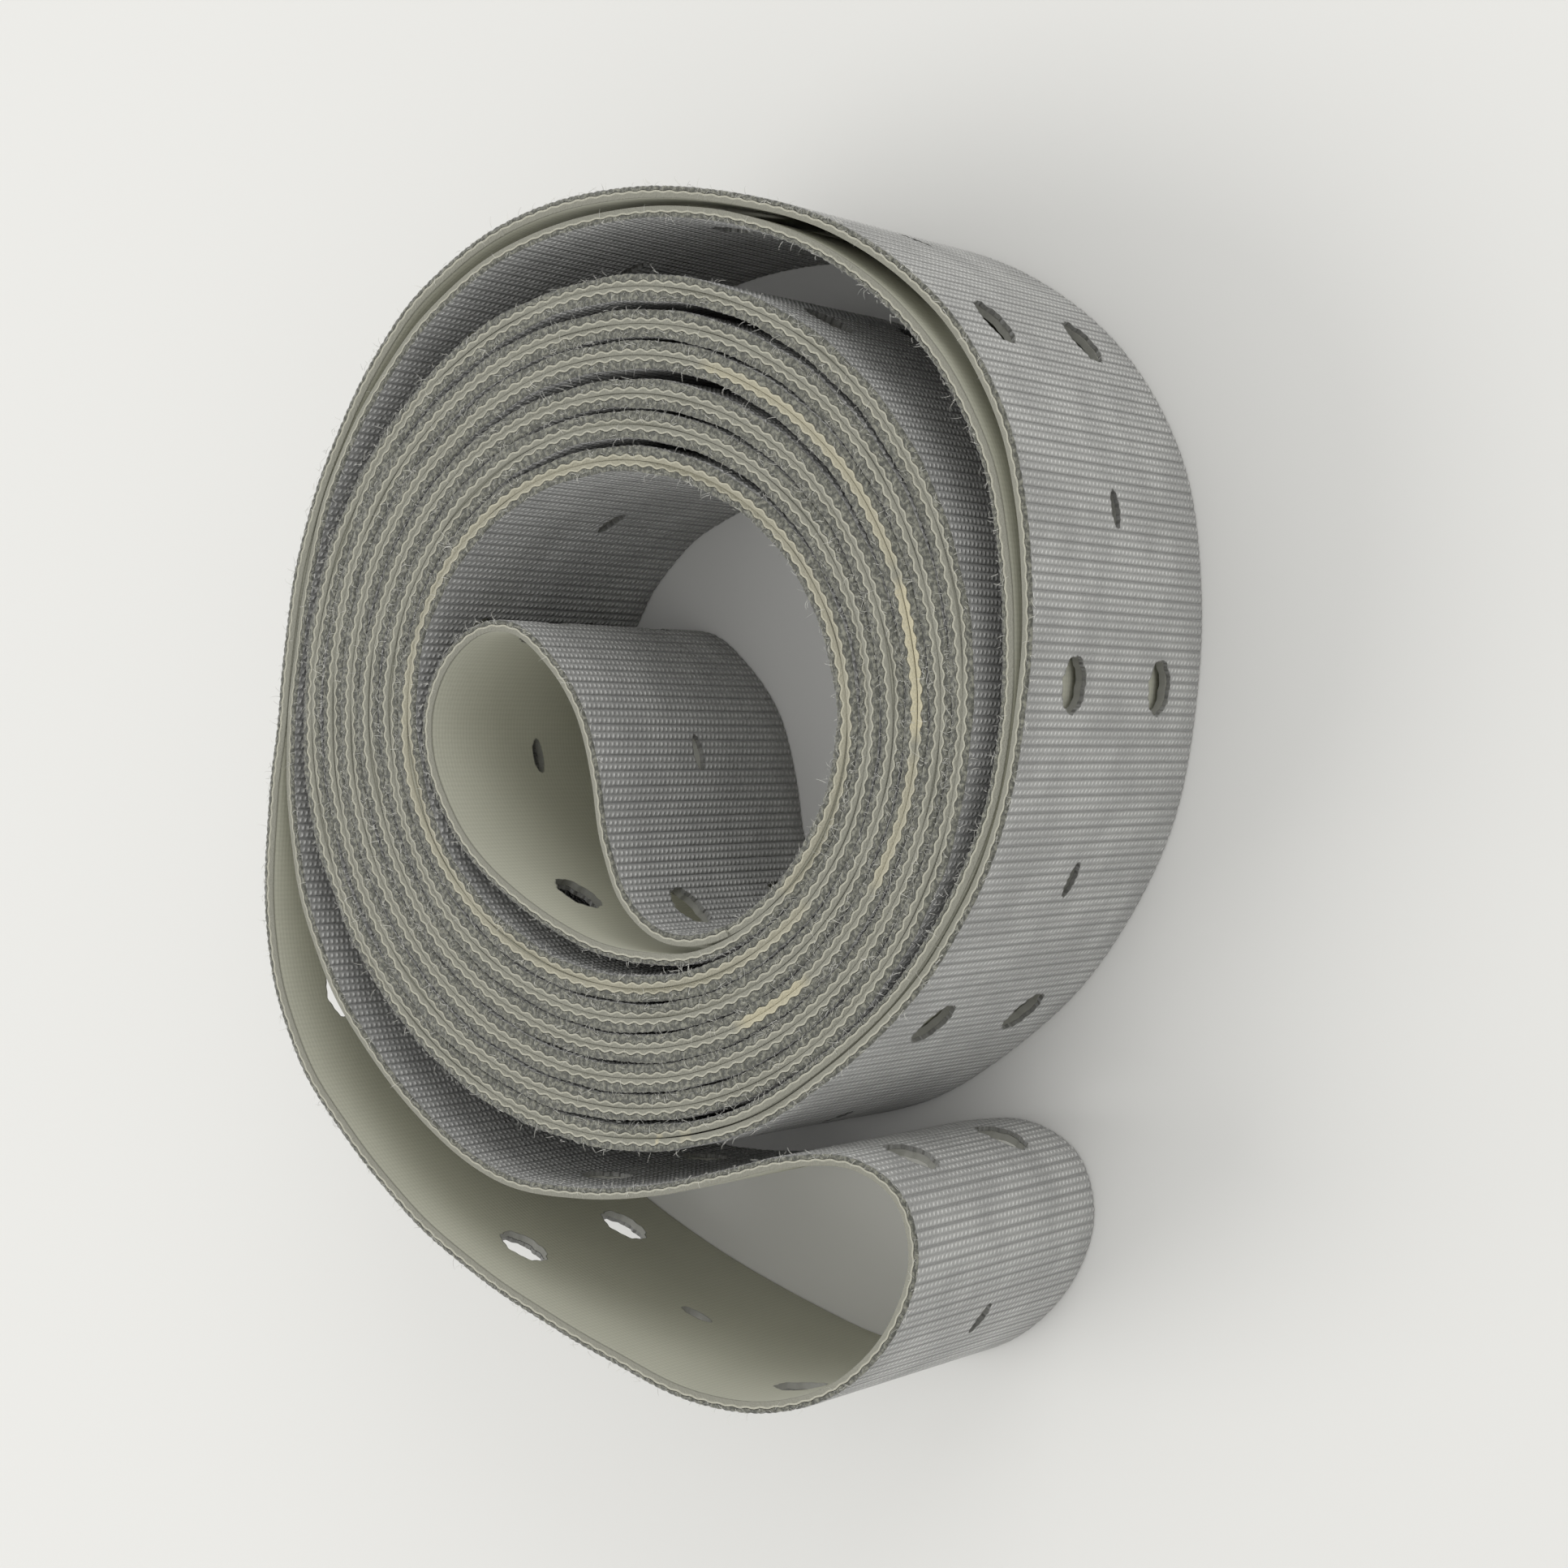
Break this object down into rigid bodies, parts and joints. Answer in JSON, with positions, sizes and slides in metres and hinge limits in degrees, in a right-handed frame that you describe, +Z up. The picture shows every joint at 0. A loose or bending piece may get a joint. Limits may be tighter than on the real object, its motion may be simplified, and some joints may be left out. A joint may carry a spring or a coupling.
{
  "type": "gait belt",
  "caption": "Endless ribbed webbing belt with punched holes, doubled flat on itself and rolled into a coil that stands on edge, with a free fold at its side.",
  "frame": {"origin": "middle of the footprint, on the surface that the belt's lower edge stands on", "axes": "+Z up, across the belt's width; the free fold is on the -X side, and -Y is the side of the roll seen from the front"},
  "size_m": [0.1618, 0.1246, 0.05],
  "materials": {
    "cover_webbing": "ribbed woven, matte",
    "lining": "fine plain weave with a smooth cream coat"
  },
  "bodies": {
    "roll": {"cover_core_loop": "cover_webbing", "cover_turn_1_outer": "cover_webbing", "cover_turn_2_outer": "cover_webbing", "cover_turn_3_outer": "cover_webbing", "cover_turn_4_outer": "cover_webbing", "cover_turn_5_outer": "cover_webbing", "cover_turn_6_outer": "cover_webbing", "cover_loose_turn_outer": "cover_webbing", "cover_loose_turn_inner": "cover_webbing", "cover_turn_6_inner": "cover_webbing", "cover_turn_5_inner": "cover_webbing", "cover_turn_4_inner": "cover_webbing", "cover_turn_3_inner": "cover_webbing", "cover_turn_2_inner": "cover_webbing", "cover_turn_1_inner": "cover_webbing", "lining_core_loop": "lining", "lining_turn_1_outer": "lining", "lining_turn_2_outer": "lining", "lining_turn_3_outer": "lining", "lining_turn_4_outer": "lining", "lining_turn_5_outer": "lining", "lining_turn_6_outer": "lining", "lining_loose_turn_outer": "lining", "lining_loose_turn_inner": "lining", "lining_turn_6_inner": "lining", "lining_turn_5_inner": "lining", "lining_turn_4_inner": "lining", "lining_turn_3_inner": "lining", "lining_turn_2_inner": "lining", "lining_turn_1_inner": "lining"},
    "free_fold": {"cover_free_loop": "cover_webbing", "lining_free_loop": "lining"}
  },
  "joints": [
    {"name": "free_fold_swing", "type": "hinge", "parent": "roll", "child": "free_fold", "pos_m": [0.01045, 0.05955, 0.025], "axis": [0, 0, 1], "range_deg": [-30, 0], "stiffness_Nm_per_rad": 0.03}
  ]
}
